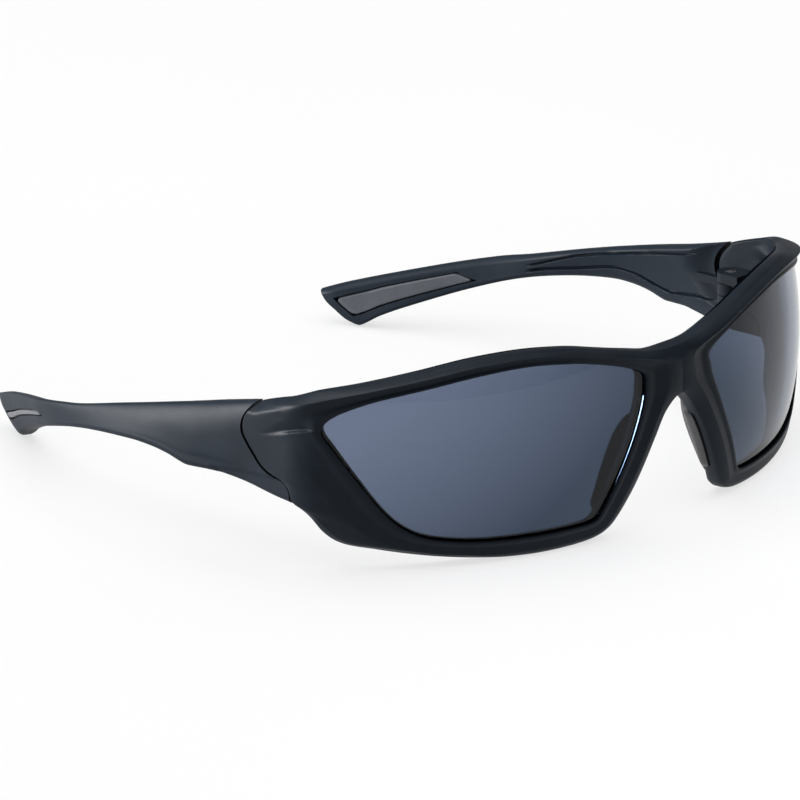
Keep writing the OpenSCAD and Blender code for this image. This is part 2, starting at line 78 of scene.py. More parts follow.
# ---- dimensions shared with the CAD model, in mm -----------------------------------------
LENS_R = 74.5            # sphere of the lens fronts
LENS_T = 2.2             # lens thickness
LENS_Z = 25.0            # height of the sphere's middle
LENS_BITE = 0.8          # how far a lens reaches into its groove
FLAT_W = 10.0            # half width of the flat part at the bridge
CURVE_LEN = 74.0         # length of the lens curve
CORNER_R = 12.0          # radius of the corner before the straight side
RIM_T = 3.7              # depth behind the lens front: rim, then side wall
SIDE_T = 3.2
FIT_GAP = 0.1            # clearance of a lens in its groove
JOINT_GAP = 0.45         # gap between side wall and temple
GRIP_DEPTH = 1.0         # depth of a grip's pocket
GRIP_PROUD = 0.2         # how far a grip stands out of it
ORIGIN_Y = 76.7          # the bridge's front lies this far in front of the origin
BULGE_FROM = 80          # s where the sphere's bulge starts to fade out
BULGE_FADE = 12          # length over which it fades
THINNER_FROM = 56        # s where the wall starts to get thinner
THINNER_OVER = 28        # length over which it does
TURN = math.pi / 2 - CURVE_LEN / LENS_R
CORNER_END = FLAT_W + CURVE_LEN + CORNER_R * TURN
CORNER_C = (FLAT_W + (LENS_R - CORNER_R) * math.sin(math.pi / 2 - TURN),
            LENS_R - (LENS_R - CORNER_R) * math.cos(math.pi / 2 - TURN))
SIDE_START = CORNER_END - CORNER_C[1]


# ---- curves ------------------------------------------------------------------------------
def smooth(t):
    """Soft step from 0 at t = 0 to 1 at t = 1."""
    c = np.clip(t, 0, 1)
    return c * c * (3 - 2 * c)


def in_range(x, low, high, soft):
    """1 between low and high, 0 outside, with soft borders."""
    return smooth((x - low) / soft) * smooth((high - x) / soft)


def through(table, x):
    """Value at x of the smooth curve through [x, value] pairs."""
    p = np.asarray(table, float)
    x = np.asarray(x, float)
    px = np.concatenate([[2 * p[0, 0] - p[1, 0]], p[:, 0], [2 * p[-1, 0] - p[-2, 0]]])
    pv = np.concatenate([[2 * p[0, 1] - p[1, 1]], p[:, 1], [2 * p[-1, 1] - p[-2, 1]]])
    i = np.clip(np.searchsorted(p[:, 0], x) - 1, 0, len(p) - 2) + 1
    h = px[i + 1] - px[i]
    t = (x - px[i]) / h
    m0 = (pv[i + 1] - pv[i - 1]) / (px[i + 1] - px[i - 1]) * h
    m1 = (pv[i + 2] - pv[i]) / (px[i + 2] - px[i]) * h
    t2, t3 = t * t, t * t * t
    return ((2 * t3 - 3 * t2 + 1) * pv[i] + (t3 - 2 * t2 + t) * m0
            + (3 * t2 - 2 * t3) * pv[i + 1] + (t3 - t2) * m1)


def catmull(a, b, c, d, t):
    """Point at t between b and c of the even curve through a, b, c and d."""
    return (b + (c - a) * t / 2 + (2 * a - 5 * b + 4 * c - d) * t * t / 2
            + (3 * b - a - 3 * c + d) * t ** 3 / 2)


# ---- the wrap: s runs round the face from the middle, w stands out from the lens front ---
def wrap(s, z, w):
    """Point in mm, in the frame's axes, of unrolled place (s, z, w) on the left half."""
    s, z, w = (np.asarray(v, float) for v in np.broadcast_arrays(s, z, w))
    on_lens = (s - FLAT_W) / LENS_R
    in_corner = math.pi / 2 - TURN + (s - FLAT_W - CURVE_LEN) / CORNER_R
    a = np.where(s <= FLAT_W, 0, np.where(s <= FLAT_W + CURVE_LEN, on_lens,
                                          np.minimum(math.pi / 2, in_corner)))
    x = np.where(s <= FLAT_W, s, np.where(s <= FLAT_W + CURVE_LEN, FLAT_W + LENS_R * np.sin(a),
                                          CORNER_C[0] + CORNER_R * np.sin(a)))
    y = np.where(s <= FLAT_W, 0, np.where(s <= FLAT_W + CURVE_LEN, LENS_R * (1 - np.cos(a)),
                                          CORNER_C[1] - CORNER_R * np.cos(a)))
    y = np.where(s > CORNER_END, CORNER_C[1] + s - CORNER_END, y)
    bulge = np.sqrt(LENS_R ** 2 - (z - LENS_Z) ** 2) - LENS_R
    out = w + bulge * (1 - smooth((s - BULGE_FROM) / BULGE_FADE))
    return np.stack([x + out * np.sin(a), y - out * np.cos(a) - ORIGIN_Y, z], -1)


# ---- temple outlines: [distance behind the bridge, value] --------------------------------
# height of its top and bottom edge
TEMPLE_TOP = [[40, 36.8], [50, 33.95], [60, 31.5], [76, 27.85], [92, 24], [108, 19.9], [116, 18.2],
              [132, 14.1], [148, 9.5], [156, 6.6]]
TEMPLE_BOTTOM = [[40, 14], [46, 14.6], [54, 15.8], [62, 16.5], [68, 16.3], [70, 16.3], [75, 17.5],
                 [80, 18.1], [86, 18.1], [98, 16.7], [110, 14.3], [122, 10.5], [134, 5.7],
                 [140, 2.9], [144, 0.4], [156, -5]]
# distance of its middle from the middle of the face, thickness, and how far its top leans out
TEMPLE_X = [[40, 71.7], [52, 71.7], [60, 72.1], [68, 72.8], [76, 73], [84, 72.9], [92, 72.2],
            [100, 71.1], [108, 69.6], [116, 67.4], [124, 64], [132, 59.6], [140, 55.2],
            [148, 51], [156, 47.2]]
TEMPLE_THICK = [[40, 5.3], [58, 5.3], [72, 4.2], [90, 3.6], [110, 3.6], [126, 4], [156, 4.2]]
TEMPLE_TWIST = [[40, 0], [52, 0], [64, -1.4], [88, -1.6], [106, 0], [130, 2.4], [156, 2.6]]
# Front and rear end of a temple: [share of its height, distance behind the bridge]
JOINT_LINE = [[0, 40.3], [0.12, 40.7], [0.19, 42.6], [0.23, 46], [0.29, 48.4], [0.39, 50.3],
              [0.51, 52.2], [0.64, 53.6], [0.79, 53.6], [0.91, 52.3], [1, 50]]
TIP_LINE = [[0, 144.3], [0.25, 147.6], [0.5, 150.2], [0.75, 152.7], [1, 154.4]]


def temple_z(y, q):
    low = through(TEMPLE_BOTTOM, y)
    return low + q * (through(TEMPLE_TOP, y) - low)


def temple(v, q, a):
    """Point of a temple: v front to rear, q bottom to top, a mm out from its middle."""
    v, q, a = (np.asarray(k, float) for k in np.broadcast_arrays(v, q, a))
    front = through(JOINT_LINE, q)
    y = front + v * (through(TIP_LINE, q) - front)
    lean = np.arctan(through(TEMPLE_X, y + 0.5) - through(TEMPLE_X, y - 0.5))
    x = through(TEMPLE_X, y) + through(TEMPLE_TWIST, y) * (q - 0.5)
    return np.stack([x + a * np.cos(lean), y - a * np.sin(lean) - ORIGIN_Y, temple_z(y, q)], -1)


JOINT_FIRST = 13                                    # the first rim station at the joint
JOINT_Q = [1, 0.88, 0.72, 0.52, 0.3, 0.19, 0.03]    # share of the temple's height at each
JOINT_TOP = 0.88         # above this share the joint gap is level and gets wider
TOP_WIDER = 0.7


def joint_end(q):
    """Point of the frame's rear end, square to the temple's end and just before it."""
    def point(r):
        y = through(JOINT_LINE, r)
        return np.stack([y, temple_z(y, r)], -1)
    q = np.asarray(q, float)
    d = point(q + 0.01) - point(q - 0.01)
    d = d / np.linalg.norm(d, axis=-1, keepdims=True)
    top = smooth((q - JOINT_TOP) / (1 - JOINT_TOP))
    away = np.stack([-d[..., 1] * (1 + TOP_WIDER * top), d[..., 0] * (1 - top)], -1)
    return point(q) + away * JOINT_GAP + [SIDE_START, 0]


# ---- rim stations: lens opening [s, z], crest [s, z, w], outer edge [s, z], its w --------
RIM = [
    [[10.6, 29.2], [4.5, 30, 1.7], [0, 28.4], 1.2],
    [[10, 32], [4, 33, 1.8], [0, 32.5], 1.8],
    [[9.8, 34.2], [4, 35.4, 1.9], [0, 36], 1.8],
    [[10.9, 35.4], [5, 36.6, 2], [0, 38.1], 0],
    [[13.5, 36.6], [9, 37.9, 2], [6, 38.6], 0],
    [[17.5, 38], [15, 39.5, 2], [12, 40], 0],
    [[22.5, 39.4], [21, 41.2, 2], [20, 41.8], 0],
    [[29, 40.7], [29, 42.8, 2], [28, 43.4], 0],
    [[39, 41.6], [39, 43.7, 2], [39, 44.3], 0],
    [[50, 40.9], [50.5, 43.2, 2], [51, 43.8], 0],
    [[61, 39.1], [62, 41.4, 2], [63, 42], 0],
    [[71, 37.1], [73, 39.4, 2], [75, 40], 0],
    [[77.5, 35], [82, 37.4, 1.8], [86, 38.1], 0],
    [[81, 33.2], [92, 34.4, 0.6], None, 0],
    [[82.6, 31.2], [90, 31, 0.4], None, 0],
    [[82.2, 29.4], [88.4, 28.4, 0.4], None, 0],
    [[80.4, 27], [86.6, 25, 0.6], None, 0],
    [[78, 23.6], [84.6, 21.4, 0.9], None, 0],
    [[75, 19.4], [82, 17.2, 1.1], None, 0],
    [[72, 15.2], [79, 13.2, 1.2], None, 0],
    [[69, 11.6], [75.6, 9.6, 1.2], [86.6, 11.8], 0],
    [[66, 9.1], [71.2, 6.6, 1.1], [81, 6.1], 0.2],
    [[62, 7.1], [65.5, 4.6, 1], [72, 4.1], 0.3],
    [[56, 5.8], [57.5, 3, 1], [60, 2], 0.3],
    [[48, 5], [48.5, 2, 1], [49.5, 0.8], 0.3],
    [[38, 4.7], [38, 1.6, 1], [38, 0.1], 0.3],
    [[29, 4.7], [28.5, 1.7, 1], [28, 0.2], 0.3],
    [[24, 4.9], [22.5, 2.2, 1], [21.5, 0.8], 0.3],
    [[21.9, 5.7], [19.5, 3.6, 1], [18, 2.2], 0.3],
    [[20.8, 7.4], [17.6, 6.4, 1.1], [15.8, 4.6], 0.3],
    [[18.6, 11.6], [15.2, 10.8, 1.2], [12.6, 9.8], 0.3],
    [[16.2, 16.4], [12.6, 15.8, 1.3], [9.6, 15.4], 0.3],
    [[14, 21], [10.2, 20.4, 1.4], [7, 20.2], 0.3],
    [[12, 25.6], [7.6, 25.2, 1.5], [3.6, 25.4], 0.3]]
SEAM_TOP = 3             # stations 0 to 3 meet the other half at the bridge
SEAM_FADE = 1.2          # stations over which the outer edge gets its rounding beside them
NOSE_FROM = 28.5         # from this station on the rim runs up the nose
TINY = 1e-9
N_RIM = len(RIM)
# Mesh columns for each station: more of them round the side scoop
COLS = [32 if 12 <= k <= 15 else 14 if k <= 20 else 8 for k in range(N_RIM)]
STATION = np.concatenate([k + np.arange(n) / n for k, n in enumerate(COLS)])
N_COL = len(STATION)


def rim_curves():
    """Opening, crest and outer edge of the rim at every mesh column."""
    outer = [r[2] for r in RIM]
    for k, q in enumerate(JOINT_Q):
        outer[JOINT_FIRST + k] = list(joint_end(q))
    tables = [np.array([r[0] for r in RIM], float), np.array([r[1] for r in RIM], float),
              np.array(outer, float), np.array([[r[3]] for r in RIM], float)]
    found = []
    for k, table in enumerate(tables):
        rows = []
        for station in STATION:
            i = int(station + TINY)
            t = station - i
            a, b, d, e = (table[(i + j) % N_RIM] for j in (-1, 0, 1, 2))
            if k == 2:                 # the outer edge is straight on the seam, and mirrored past it
                if i < SEAM_TOP:
                    a, e = b, d
                elif i == SEAM_TOP:
                    a = d * [-1, 1]
                if i == N_RIM - 1:
                    e = b * [-1, 1]
            rows.append(catmull(a, b, d, e, t))
        found.append(np.array(rows))
    last = JOINT_FIRST + len(JOINT_Q) - 1
    cols = (STATION >= JOINT_FIRST - TINY) & (STATION <= last + TINY)
    q = np.interp(STATION[cols] - JOINT_FIRST, np.arange(len(JOINT_Q)), JOINT_Q)
    found[2][cols] = joint_end(q)
    found[3][found[3] < 0.02] = 0      # no dip where the curve swings past
    return found


OPENING, CREST, OUTER, OUTER_W = rim_curves()


def outward():
    """Direction away from the lens opening at every mesh column."""
    d = np.roll(OPENING, -1, 0) - np.roll(OPENING, 1, 0)
    d /= np.linalg.norm(d, axis=1, keepdims=True)
    return np.stack([-d[:, 1], d[:, 0]], -1)


OUTWARD = outward()


def depth(s):
    """w of the back of the rim and the side wall."""
    return -RIM_T + (RIM_T - SIDE_T) * smooth((s - THINNER_FROM) / THINNER_OVER)


# ---- mesh helpers ------------------------------------------------------------------------
def rounded(points, radii, steps):
    """Closed section with its corners rounded. points: (columns, corners, 3)."""
    out = []
    n = points.shape[1]
    for k in range(n):
        p = points[:, k]
        radius = np.broadcast_to(radii[k], (len(points),))[:, None]
        if radius.max() == 0:
            out.append(p)
            continue
        ends = []
        for other in (points[:, k - 1], points[:, (k + 1) % n]):
            d = other - p
            length = np.maximum(np.linalg.norm(d, axis=1, keepdims=True), 1e-6)
            ends.append(p + d * np.minimum(radius / length, 0.46))
        for t in np.linspace(0, 1, steps):
            out.append((1 - t) ** 2 * ends[0] + 2 * t * (1 - t) * p + t * t * ends[1])
    return np.stack(out, 1)


SHARP_ANGLE = math.radians(48)
WELD = 0.002             # points closer than this are joined


def new_mesh(name, vertices, faces, ends=()):
    """Smooth object from vertices in mm; the faces listed in ends take its second material, the
    near-black painted shade.
    """
    mesh = bpy.data.meshes.new(name)
    mesh.from_pydata((np.asarray(vertices) * MM).tolist(), [], faces)
    for k in ends:
        mesh.polygons[k].material_index = 1
    shape = bmesh.new()
    shape.from_mesh(mesh)
    bmesh.ops.remove_doubles(shape, verts=shape.verts, dist=WELD * MM)
    bmesh.ops.recalc_face_normals(shape, faces=shape.faces)
    shape.to_mesh(mesh)
    shape.free()
    obj = bpy.data.objects.new(name, mesh)
    bpy.context.scene.collection.objects.link(obj)
    mesh.polygons.foreach_set("use_smooth", [True] * len(mesh.polygons))
    mesh.set_sharp_from_angle(angle=SHARP_ANGLE)
    return obj


def mirror(vertices):
    return np.asarray(vertices) * [-1, 1, 1]


def handed_mesh(word, name, vertices, faces, ends=()):
    """Mesh of a piece that is drawn for the left, and mirrored for the right."""
    if SIDES[word] < 0:
        vertices, faces = mirror(vertices), [f[::-1] for f in faces]
    return new_mesh(word + "_" + name, vertices, faces, ends)


def tube_faces(n_rows, n_cols):
    """Quads between rows of n_cols points, each row a closed ring."""
    faces = []
    for here in range(0, (n_rows - 1) * n_cols, n_cols):
        there = here + n_cols
        for c in range(n_cols):
            c2 = (c + 1) % n_cols
            faces.append([here + c, there + c, there + c2, here + c2])
    return faces


def closed_tube(section):
    """Points and faces of a tube through the rows of a section, with flat ends."""
    n_rows, n_cols = section.shape[:2]
    faces = tube_faces(n_rows, n_cols)
    faces.append(list(range(n_cols)))
    faces.append([(n_rows - 1) * n_cols + k for k in range(n_cols - 1, -1, -1)])
    return section.reshape(-1, 3), faces


# ---- front frame -------------------------------------------------------------------------
ROUND_STEPS = 4          # points on each rounded edge
LIP = 0.9                # how far the lip round a lens stands out from it
VALLEY_AT = 0.42         # the hollow between lip and crest: its place and depth
VALLEY_DEEP = 0.25
EDGE_IN = 0.8            # inset of the rim's outer edge, front and back
EDGE_RADIUS = 0.7
CHAMFER = 2.1            # extra width of the chamfer along the side's lower edge
# Shares of the way from the crest to the outer edge at which the face has points
BETWEEN = [0.05, 0.11, 0.18, 0.26, 0.34, 0.42, 0.5, 0.58, 0.66, 0.74, 0.82, 0.88, 0.93, 0.97]
# The scoop on each side of the frame: lower and upper border [s, z], depth [s, mm]
SCOOP_LOW = [[80, 31], [84, 30.7], [86.3, 30.4], [90, 29.6], [94, 28.5], [98.6, 27.3]]
SCOOP_HIGH = [[80, 35.4], [84, 34.8], [88, 33.5], [92, 31.6], [96, 29], [98.6, 27.5]]
SCOOP_DEPTH = [[82.6, 0], [84.4, 0.6], [87, 0.9], [90, 0.75], [94, 0.35], [97, 0.12], [98.6, 0]]
BEVEL = 2.3              # height of the bevel along the top edge of the side wall
BEVEL_SLOPE = 0.95
BEVEL_SOFT = 0.3         # rounding of its lower border
BEVEL_FROM = 77          # s where the bevel starts to grow
BEVEL_GROW = 13          # length over which it grows
TOP_EDGE = OUTER[(STATION >= 11) & (STATION <= JOINT_FIRST + TINY)]


def bevel(below):
    """How much the bevel takes away at a distance below the top edge."""
    e = BEVEL - below
    return BEVEL_SLOPE * (np.sqrt(e * e + BEVEL_SOFT * BEVEL_SOFT) + e) / 2


def cut(p):
    """How much the side scoop and the top bevel take off the side wall at points (s, z)."""
    s, z = p[:, :1], p[:, 1:2]
    low, high = through(SCOOP_LOW, s), through(SCOOP_HIGH, s)
    deep = np.interp(s, *np.array(SCOOP_DEPTH).T)
    wedge = np.clip((high - z) / (high - low), 0, 1)
    scoop = deep * wedge * smooth((z - low) / (0.25 + 0.5 * deep))
    below = np.interp(s, TOP_EDGE[:, 0], TOP_EDGE[:, 1]) - z
    return np.maximum(scoop, 0) + bevel(below) * smooth((s - BEVEL_FROM) / BEVEL_GROW)


def rim_section():
    """Sections of the rim at every column in (s, z, w), and the range of its outer edge."""
    crest, crest_w = CREST[:, :2], CREST[:, 2:]
    free = in_range(STATION, SEAM_TOP, N_RIM, SEAM_FADE)
    inward = OPENING - OUTER
    inward = inward / np.linalg.norm(inward, axis=1, keepdims=True) * EDGE_IN * free[:, None]
    back_in, back_out = depth(OPENING[:, :1]), depth(OUTER[:, :1])
    corners, radii = [], []

    def at(p, w):
        return np.concatenate([p, np.broadcast_to(w, (N_COL, 1))], 1)

    def add(point, radius=0.0):
        corners.append(point)
        radii.append(np.broadcast_to(np.asarray(radius, float), (N_COL,)))

    # lip, hollow and crest
    valley = OPENING + (crest - OPENING) * VALLEY_AT
    add(at(OPENING, LIP - 0.2), 0.3)
    add(at(OPENING + (crest - OPENING) * 0.2, LIP), 0.5)
    add(at(valley, LIP - VALLEY_DEEP - cut(valley)), 1.2)
    for t in (0.25, 0.5, 0.75):
        p = valley + (crest - valley) * t
        add(at(p, (LIP - VALLEY_DEEP) * (1 - t) + crest_w * t - cut(p)))
    add(at(crest, crest_w - cut(crest)), 0.5)
    # the face, out to a chamfer that is wide along the lower edge of the side
    wide = (smooth((STATION - 18.6) / 1.2) * smooth((24.5 - STATION) / 2))[:, None]
    edge = OUTER + inward * (0.3 + CHAMFER * wide)
    lower = np.maximum(OUTER_W - 0.8 - 0.3 * wide - cut(OUTER), back_out + 0.85)
    for t in BETWEEN:
        p = crest + (edge - crest) * t
        w = crest_w * (1 - t) + OUTER_W * t + 0.8 * t * (1 - t)
        add(at(p, w - cut(p)))
    # the outer edge: each of its corners is rounded, and only some of those before it
    sharp = sum(1 for r in radii if r.max() == 0)
    edge_from = sharp + (len(corners) - sharp) * ROUND_STEPS
    for point in (at(edge, OUTER_W - cut(edge)), at(OUTER, lower),
                  at(OUTER, back_out + EDGE_IN), at(OUTER + inward, back_out)):
        add(point, EDGE_RADIUS * free)
    # the back, then the wall of the opening with the lens groove in it
    for t in (0.75, 0.5, 0.25, 0):
        p = crest + (OUTER - crest) * t
        add(at(p, depth(p[:, :1])))
    groove = OPENING + OUTWARD * (LENS_BITE + FIT_GAP)
    for point in (at(OPENING + OUTWARD * 0.3, back_in), at(OPENING, back_in + 0.3),
                  at(OPENING, -LENS_T - FIT_GAP), at(groove, -LENS_T - FIT_GAP),
                  at(groove, FIT_GAP), at(OPENING, FIT_GAP)):
        add(point)
    section = rounded(np.stack(corners, 1), radii, ROUND_STEPS)
    return section, edge_from, edge_from + 4 * ROUND_STEPS - 1


def build_frame():
    section, edge_from, edge_to = rim_section()
    half = wrap(section[..., 0], section[..., 1], section[..., 2]).reshape(-1, 3)
    n_sec = section.shape[1]
    on_seam = STATION < SEAM_TOP - TINY
    at_joint = (STATION > JOINT_FIRST - TINY) & (STATION < JOINT_FIRST + len(JOINT_Q) - 1)
    faces, ends = [], []
    for side in (0, 1):
        for c in range(N_COL):
            for k in range(n_sec):
                if on_seam[c] and edge_from <= k < edge_to:
                    continue                        # the halves are open to each other here
                at_end = at_joint[c] and edge_from + ROUND_STEPS <= k < edge_to - ROUND_STEPS
                if at_end or k == n_sec - 1:        # joint faces, and the wall round the lens: near-black painted shade
                    ends.append(len(faces))
                k2, c2 = (k + 1) % n_sec, (c + 1) % N_COL
                f = [side * len(half) + i * n_sec + j
                     for i, j in ((c, k), (c2, k), (c2, k2), (c, k2))]
                faces.append(f if side == 0 else f[::-1])
    return new_mesh("front_shell", np.concatenate([half, mirror(half)]), faces, ends)


# ---- lenses ------------------------------------------------------------------------------
LENS_MIDDLE = np.array([46.0, 23.0])     # [s, z] of the point that the rings close on
LENS_RINGS = 14


def build_lens(word):
    edge = OPENING + OUTWARD * LENS_BITE
    n = len(edge)
    rings = [LENS_MIDDLE + (edge - LENS_MIDDLE) * r / LENS_RINGS for r in range(1, LENS_RINGS + 1)]
    rows = [wrap(p[:, 0], p[:, 1], 0.0) for p in rings]
    rows += [wrap(p[:, 0], p[:, 1], -LENS_T) for p in rings[::-1]]
    centre = [wrap(LENS_MIDDLE[0], LENS_MIDDLE[1], w) for w in (0.0, -LENS_T)]
    vertices = np.concatenate([np.array(rows).reshape(-1, 3), np.array(centre)])
    faces = tube_faces(len(rows), n)
    front, back = len(vertices) - 2, len(vertices) - 1
    last = (len(rows) - 1) * n
    for c in range(n):
        faces.append([front, c, (c + 1) % n])
        faces.append([back, last + (c + 1) % n, last + c])
    return handed_mesh(word, "lens_shield", vertices, faces)


# ---- nose pads ---------------------------------------------------------------------------
# A pad from bottom to top: [height, distance from the middle, reach behind the rim]
PAD = [[5.6, 15.8, 1.4], [7, 14.9, 3], [10, 13, 3.9], [14, 10.7, 4.7], [18, 8.7, 4.9],
       [21, 7.5, 4.6], [24, 6.5, 3.4], [25.6, 6, 1.8]]
PAD_ROWS = 34
PAD_THICK = 2.2
PAD_LEAN = 0.5           # how far a pad leans outwards, as a share of its reach
PAD_GAP = 0.08           # hair gap between pad and rim
PAD_LIP = 2.5            # how far a pad laps forward over the rim's nose edge
PAD_PROUD = 0.45         # how far the lap stands out from the rim
PAD_LAP = (6.6, 22.4)    # heights between which it laps
PAD_FADE = 1.2           # length over which lap and thickness fade at the ends
PAD_FRONT = 3            # columns of the front face, which takes the near-black painted shade of the slot by the rim


def pad_seat(x, z):
    """y of the back of the rim, where a pad sits."""
    r = LENS_R - RIM_T + np.sqrt(LENS_R ** 2 - (z - LENS_Z) ** 2) - LENS_R
    a = np.arcsin(np.maximum(0, x - FLAT_W) / r)
    return LENS_R - r * np.cos(a) + PAD_GAP - ORIGIN_Y


def build_pad(word):
    table = np.array(PAD)
    z = np.linspace(table[0, 0], table[-1, 0], PAD_ROWS)
    x = through(table[:, [0, 1]], z)
    reach = through(table[:, [0, 2]], z)
    x, reach, z1 = x[:, None], reach[:, None], z[:, None]
    t, lean = PAD_THICK, PAD_LEAN * reach
    y0, y1 = pad_seat(x, z1), pad_seat(x + t, z1)
    ends = np.minimum(1, np.minimum(z1 - z1.min(), z1.max() - z1) / PAD_FADE)
    plump = np.sqrt(np.maximum(0, 1 - (1 - ends) ** 2)) * 0.35 + 0.65

    def at(px, py):
        return np.concatenate([px, py, z1], 1)
    # the lap follows the rim's nose edge and fades out at both ends
    nose = OUTER[(STATION > NOSE_FROM) & (STATION < N_RIM)]
    wall = wrap(np.interp(z, nose[:, 1], nose[:, 0]), z, -1)[:, :1]
    lap = in_range(z1, *PAD_LAP, PAD_FADE)
    inner = (wall - PAD_PROUD) * lap + x * (1 - lap)
    corners = np.stack([
        at(inner + 0.8, y0 - PAD_LIP * lap), at(inner, y0 - PAD_LIP * lap), at(inner, y0),
        at(x + 0.1 * lean, y0 + 0.35 * reach), at(x + 0.5 * lean, y0 + 0.7 * reach),
        at(x + lean, y0 + (reach - 0.4) * plump), at(x + lean + 0.4 * t, y0 + reach * plump),
        at(x + lean + t, y0 + (reach - 0.5) * plump),
        at(x + 0.6 * lean + t, y0 + 0.6 * reach * plump),
        at(x + 0.2 * lean + t, np.maximum(y1, y0 + 0.25 * reach)), at(x + t, y1)], 1)
    section = rounded(corners, [0, 0.4] + 7 * [0.8] + [0.4, 0], ROUND_STEPS)
    # the front columns, in the slot by the rim, take the near-black painted shade
    front = [r * section.shape[1] + c for r in range(PAD_ROWS - 1) for c in range(PAD_FRONT)]
    return handed_mesh(word, "nose_bearing", *closed_tube(section), front)


# ---- temples -----------------------------------------------------------------------------
CORNER = 1.1                                # radius of the long edges
OUTER_GRIP = (0.4, 0.6, 0.725, 0.975)       # q range, then v range
INNER_GRIP = (0.26, 0.78, 0.72, 0.98)
RIM_SHARE = 0.02         # soft border of a grip's pocket, in q
END_SHARE = 0.004        # soft border of its ends, in v
TEMPLE_FROM = 47         # rough distance of v = 0 behind the bridge, for thickness and height
TEMPLE_RUN = 103         # and from there to v = 1
TIP_ROUND = 0.97         # v where the rear tip starts to get thinner
FRONT_END = 0.2          # up to this v the edges are shaped for the height at the hinge
HINGE_HEIGHT = 19.0
N_FACE = 96              # points over the height of the outer and of the inner face
TOP_INNER = 2.2          # radius of the inner top edge
SHOULDER_HIGH = 7.5      # the rounded shoulder of the outer face: height and depth
SHOULDER_DEEP = 2.1
SHOULDER_HALF = 2.65     # half thickness at which it has that depth
FLUSH = 1.9              # how much thinner the front end is on the inside
FLUSH_END = 0.08         # v where it has its full thickness again
CREASE_STEP = 0.45       # depth of the step under the crease
CREASE_END = 73          # distance behind the bridge where the step has faded out
GROOVE = 0.95            # depth of the lines round the panel
GRIP_GAP_V = 0.0035      # hair gap round a grip in its pocket, in v and in q
GRIP_GAP_Q = 0.032
GRIP_END = 0.012         # length in v of a grip's domed end
GRIP_ROUND = 0.35        # width of its rounded long edges
GRIP_FLOOR = 0.12        # gap under a grip
GRIP_COLS = 18
# The lines above and below the panel on the inner face: [distance behind the bridge, height]
PANEL_TOP = [[52, 31.9], [53.3, 31.2], [78, 26], [94, 22.3], [105.2, 18.6], [112, 16.4]]
PANEL_LOW = [[50, 20.2], [57, 20.6], [67, 19.2], [72.5, 20], [78, 21.2], [84, 21.4], [94, 19.4],
             [105.3, 17.2], [112, 14.8]]
# The crease over the outer face's lower edge
CREASE = [[38, 19.4], [43, 19.1], [52, 18.7], [60, 18.1], [66, 17.3], [71.5, 16.2], [76, 15]]


def behind(v):
    return TEMPLE_FROM + v * TEMPLE_RUN


def half_thick(v):
    past = np.maximum(0, v - TIP_ROUND) / (1 - TIP_ROUND)
    return through(TEMPLE_THICK, behind(v)) / 2 * np.sqrt(np.maximum(0, 1 - 0.6 * past ** 2))


def temple_height(v):
    return through(TEMPLE_TOP, behind(v)) - through(TEMPLE_BOTTOM, behind(v))


def corner_share(v):
    """Share of the temple's height that a rounded edge takes up."""
    return CORNER / np.where(v < FRONT_END, HINGE_HEIGHT, temple_height(v))


def inner_top(v):
    """q of the inner grip's upper end, below the rounded top edge."""
    return np.minimum(INNER_GRIP[1], 1 - corner_share(v) - 4.5 * RIM_SHARE)


def pocket(v, q, low, high, ends):
    """Depth of a grip's pocket, from q = low to high and between the two ends in v."""
    return GRIP_DEPTH * in_range(v, *ends, END_SHARE) * in_range(q, low, high, RIM_SHARE)


def inner_dip(v, q):
    """How deep the inner face is cut at (v, q): lines round the panel, and grip pocket."""
    p = temple(v, q, 0)
    y, z = p[..., 1] + ORIGIN_Y, p[..., 2]
    low, high = through(PANEL_LOW, y), through(PANEL_TOP, y)
    lines = np.maximum(smooth(1.2 - np.abs(z - low) / 0.4),
                       0.7 * smooth(1.2 - np.abs(z - high) / 0.3))
    panel = GROOVE * lines * in_range(y, 50, 108, 2)
    return np.maximum(panel, pocket(v, q, INNER_GRIP[0], inner_top(v), INNER_GRIP[2:]))


def outer_dip(v, q):
    """How deep the outer face is cut at (v, q): grip pocket, and the step under the crease."""
    p = temple(v, q, 0)
    y, z = p[..., 1] + ORIGIN_Y, p[..., 2]
    crease = CREASE_STEP * smooth((through(CREASE, y) - z) / 0.7) * smooth((CREASE_END - y) / 6)
    return np.maximum(pocket(v, q, *OUTER_GRIP[:2], OUTER_GRIP[2:]), crease)


def shoulder(q, v, half):
    """How much the rounded shoulder takes off the outer face towards its top edge."""
    below = (1 - q) * float(temple_height(v))
    u = np.clip(1 - below / SHOULDER_HIGH, 0, 1)
    deep = SHOULDER_DEEP * (half / SHOULDER_HALF) ** 1.5
    return deep * (1 - np.sqrt(1 - u * u * 0.995))      # a little short of upright at the top


def spread(parts):
    """Rising numbers from (start, end, count) parts."""
    return np.unique(np.concatenate([np.linspace(a, b, n) for a, b, n in parts]).round(6))


def temple_section(v):
    """The temple's closed section at v: out from the outer face, over the top and round."""
    h = float(half_thick(v))
    edge = min(CORNER, 0.5 * h)
    r = float(corner_share(v))
    levels = np.linspace(r, 1 - r, N_FACE)
    every = np.full(N_FACE, v)
    outer = h - outer_dip(every, levels) - shoulder(levels, v, h)
    # the inner face comes flush with the frame's inner wall at the joint
    flush = FLUSH * (1 - float(smooth(v / FLUSH_END)))
    inner = -h + np.maximum(inner_dip(every, levels), flush)
    arc = np.linspace(0, math.pi / 2, 6)
    start, end = arc[:-1], arc[1:]
    top = min(TOP_INNER / CORNER, 0.9 * h / edge) * edge
    top_q = 1 - r + r * np.sin(end)
    a = np.concatenate([outer, h - shoulder(top_q, v, h),
                        np.maximum(top - h - top * np.sin(start), flush - h), inner[::-1],
                        edge + flush - h - edge * np.cos(end),
                        outer[0] - edge + edge * np.sin(start)])
    q = np.concatenate([levels, top_q, 1 - r + r * np.cos(start), levels[::-1],
                        r - r * np.sin(end), r - r * np.cos(start)])
    return temple(v, q, a)


